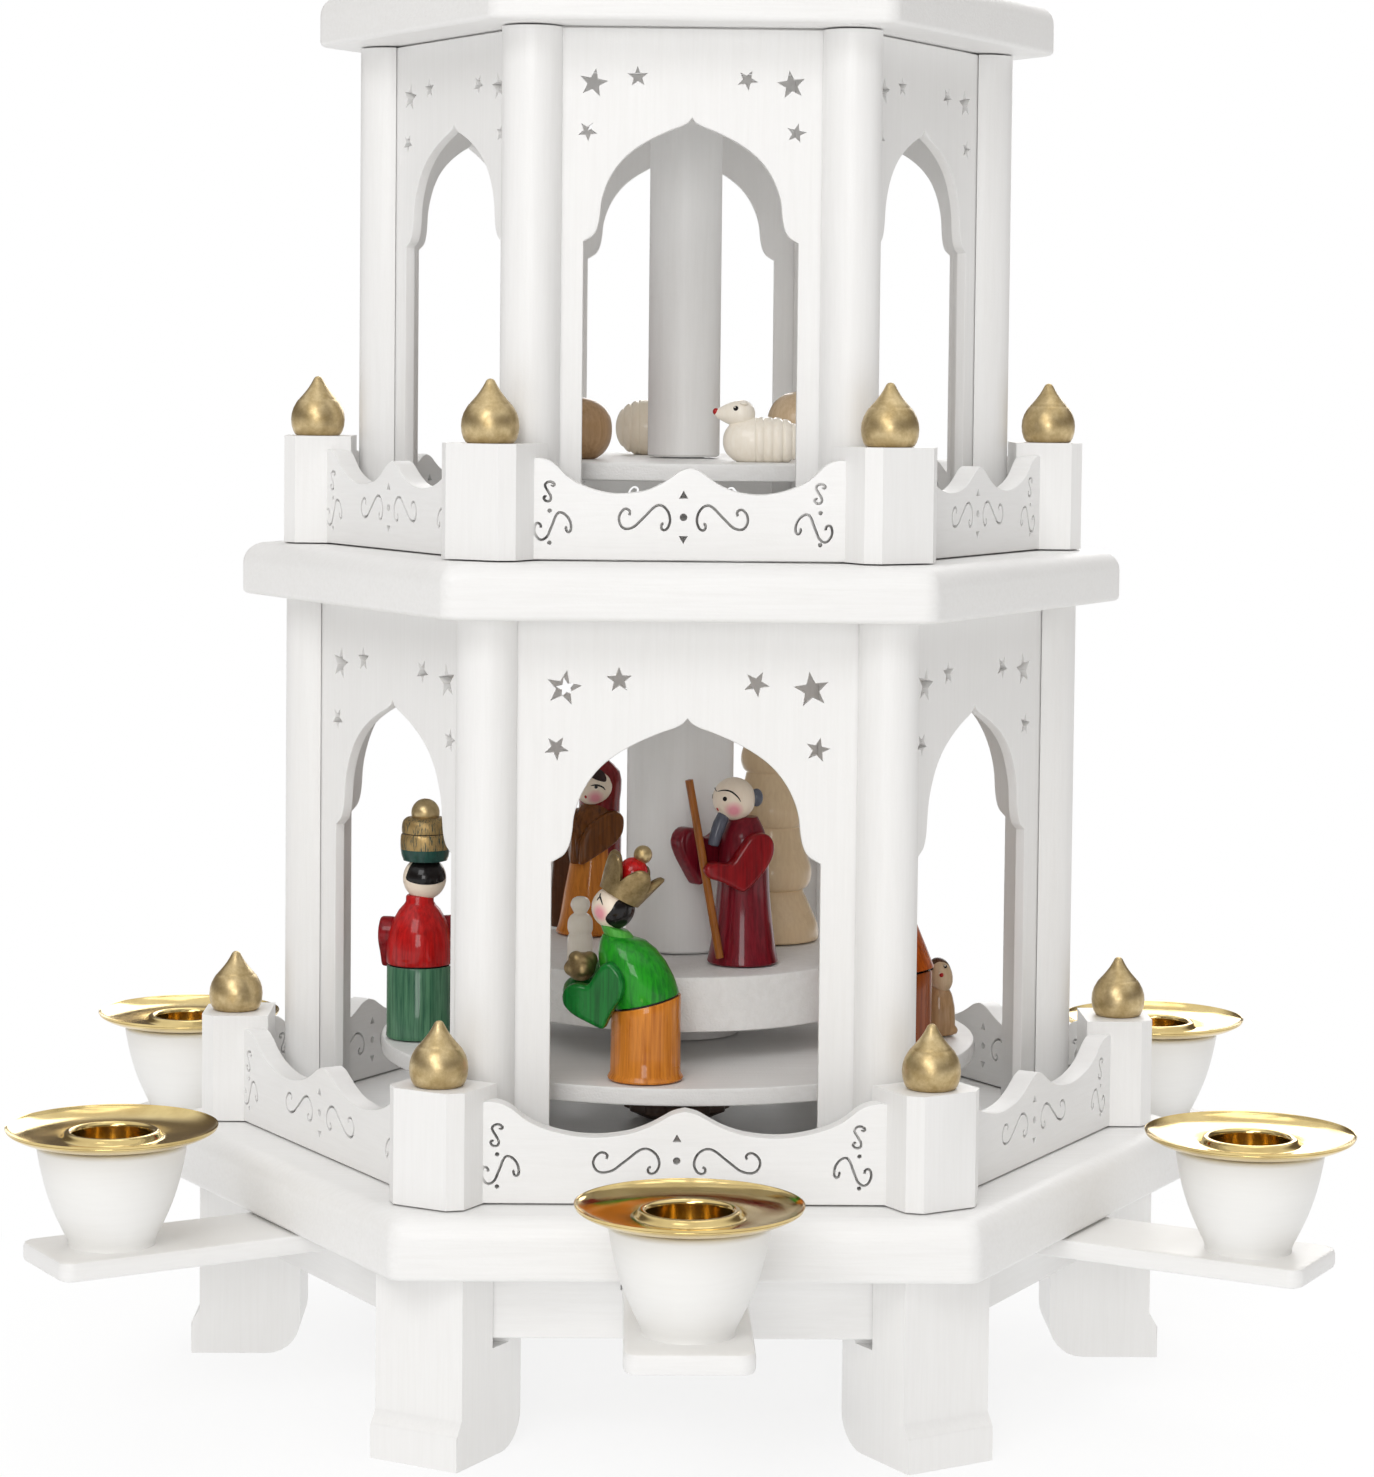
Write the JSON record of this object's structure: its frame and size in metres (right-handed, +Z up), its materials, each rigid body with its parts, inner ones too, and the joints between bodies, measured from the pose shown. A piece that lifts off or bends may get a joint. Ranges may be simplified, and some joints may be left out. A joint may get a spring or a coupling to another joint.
{
  "type": "candle carousel",
  "caption": "Tiered hexagonal wooden candle carousel: candles on arms warm the air that turns a bladed rotor, its shaft and figure turntables inside star-cut arcades.",
  "frame": {"origin": "on the shaft's axis at floor level, under the middle of the base", "axes": "+Z up along the shaft; the front face of the tower looks along -Y"},
  "size_m": [0.274, 0.275, 0.4053],
  "materials": {
    "white_paint": "satin white paint over turned and sawn wood; finials gold",
    "brass": "polished spun brass",
    "dark_wood": "dark brown stain",
    "steel": "ground steel point",
    "natural_wood": "clear lacquer over pale wood",
    "gold_paint": "gold paint over turned wood",
    "red_paint": "gloss red paint",
    "dark_red_paint": "dark red paint",
    "green_paint": "gloss green paint",
    "orange_stain": "orange brown stain",
    "cream_paint": "cream paint"
  },
  "bodies": {
    "housing": {"base_deck": "white_paint", "apron": "white_paint", "leg_1": "white_paint", "leg_2": "white_paint", "leg_3": "white_paint", "leg_4": "white_paint", "leg_5": "white_paint", "leg_6": "white_paint", "candle_arm_1": "white_paint", "candle_arm_2": "white_paint", "candle_arm_3": "white_paint", "candle_arm_4": "white_paint", "candle_arm_5": "white_paint", "candle_arm_6": "white_paint", "candle_pan_1": "brass", "candle_pan_2": "brass", "candle_pan_3": "brass", "candle_pan_4": "brass", "candle_pan_5": "brass", "candle_pan_6": "brass", "lower_arcade": "white_paint", "lower_gallery": "white_paint", "middle_deck": "white_paint", "middle_arcade": "white_paint", "middle_gallery": "white_paint", "upper_deck": "white_paint", "upper_arcade": "white_paint", "upper_gallery": "white_paint", "roof_deck": "white_paint", "roof_bush": "dark_wood", "bearing_block": "dark_wood", "bearing_cup": "brass"},
    "carousel": {"needle": "steel", "shaft": "natural_wood", "lower_turntable": "white_paint", "lower_step": "white_paint", "lower_column": "white_paint", "middle_turntable": "white_paint", "middle_column": "white_paint", "upper_turntable": "white_paint", "upper_column": "white_paint", "rotor_hub": "natural_wood", "rotor_cap": "gold_paint", "king_red": "red_paint", "king_green": "green_paint", "king_orange": "orange_stain", "sitting_animal": "orange_stain", "mother": "orange_stain", "staff_bearer": "dark_red_paint", "tree": "natural_wood", "lamb": "cream_paint", "shepherd": "dark_red_paint"},
    "blade_1": {"blade_1": "natural_wood"},
    "blade_2": {"blade_2": "natural_wood"},
    "blade_3": {"blade_3": "natural_wood"},
    "blade_4": {"blade_4": "natural_wood"},
    "blade_5": {"blade_5": "natural_wood"},
    "blade_6": {"blade_6": "natural_wood"},
    "blade_7": {"blade_7": "natural_wood"},
    "blade_8": {"blade_8": "natural_wood"}
  },
  "joints": [
    {"name": "carousel_spin", "type": "hinge", "parent": "housing", "child": "carousel", "pos_m": [0, 0, 0.0507], "axis": [0, 0, 1], "continuous": true},
    {"name": "blade_1_pitch", "type": "hinge", "parent": "carousel", "child": "blade_1", "pos_m": [0.014, 0, 0.379], "axis": [1, 0, 0], "range_deg": [-25, 65]},
    {"name": "blade_2_pitch", "type": "hinge", "parent": "carousel", "child": "blade_2", "pos_m": [0.0099, 0.0099, 0.379], "axis": [0.7071, 0.7071, 0], "range_deg": [-25, 65]},
    {"name": "blade_3_pitch", "type": "hinge", "parent": "carousel", "child": "blade_3", "pos_m": [0, 0.014, 0.379], "axis": [0, 1, 0], "range_deg": [-25, 65]},
    {"name": "blade_4_pitch", "type": "hinge", "parent": "carousel", "child": "blade_4", "pos_m": [-0.0099, 0.0099, 0.379], "axis": [-0.7071, 0.7071, 0], "range_deg": [-25, 65]},
    {"name": "blade_5_pitch", "type": "hinge", "parent": "carousel", "child": "blade_5", "pos_m": [-0.014, 0, 0.379], "axis": [-1, 0, 0], "range_deg": [-25, 65]},
    {"name": "blade_6_pitch", "type": "hinge", "parent": "carousel", "child": "blade_6", "pos_m": [-0.0099, -0.0099, 0.379], "axis": [-0.7071, -0.7071, 0], "range_deg": [-25, 65]},
    {"name": "blade_7_pitch", "type": "hinge", "parent": "carousel", "child": "blade_7", "pos_m": [0, -0.014, 0.379], "axis": [0, -1, 0], "range_deg": [-25, 65]},
    {"name": "blade_8_pitch", "type": "hinge", "parent": "carousel", "child": "blade_8", "pos_m": [0.0099, -0.0099, 0.379], "axis": [0.7071, -0.7071, 0], "range_deg": [-25, 65]}
  ]
}
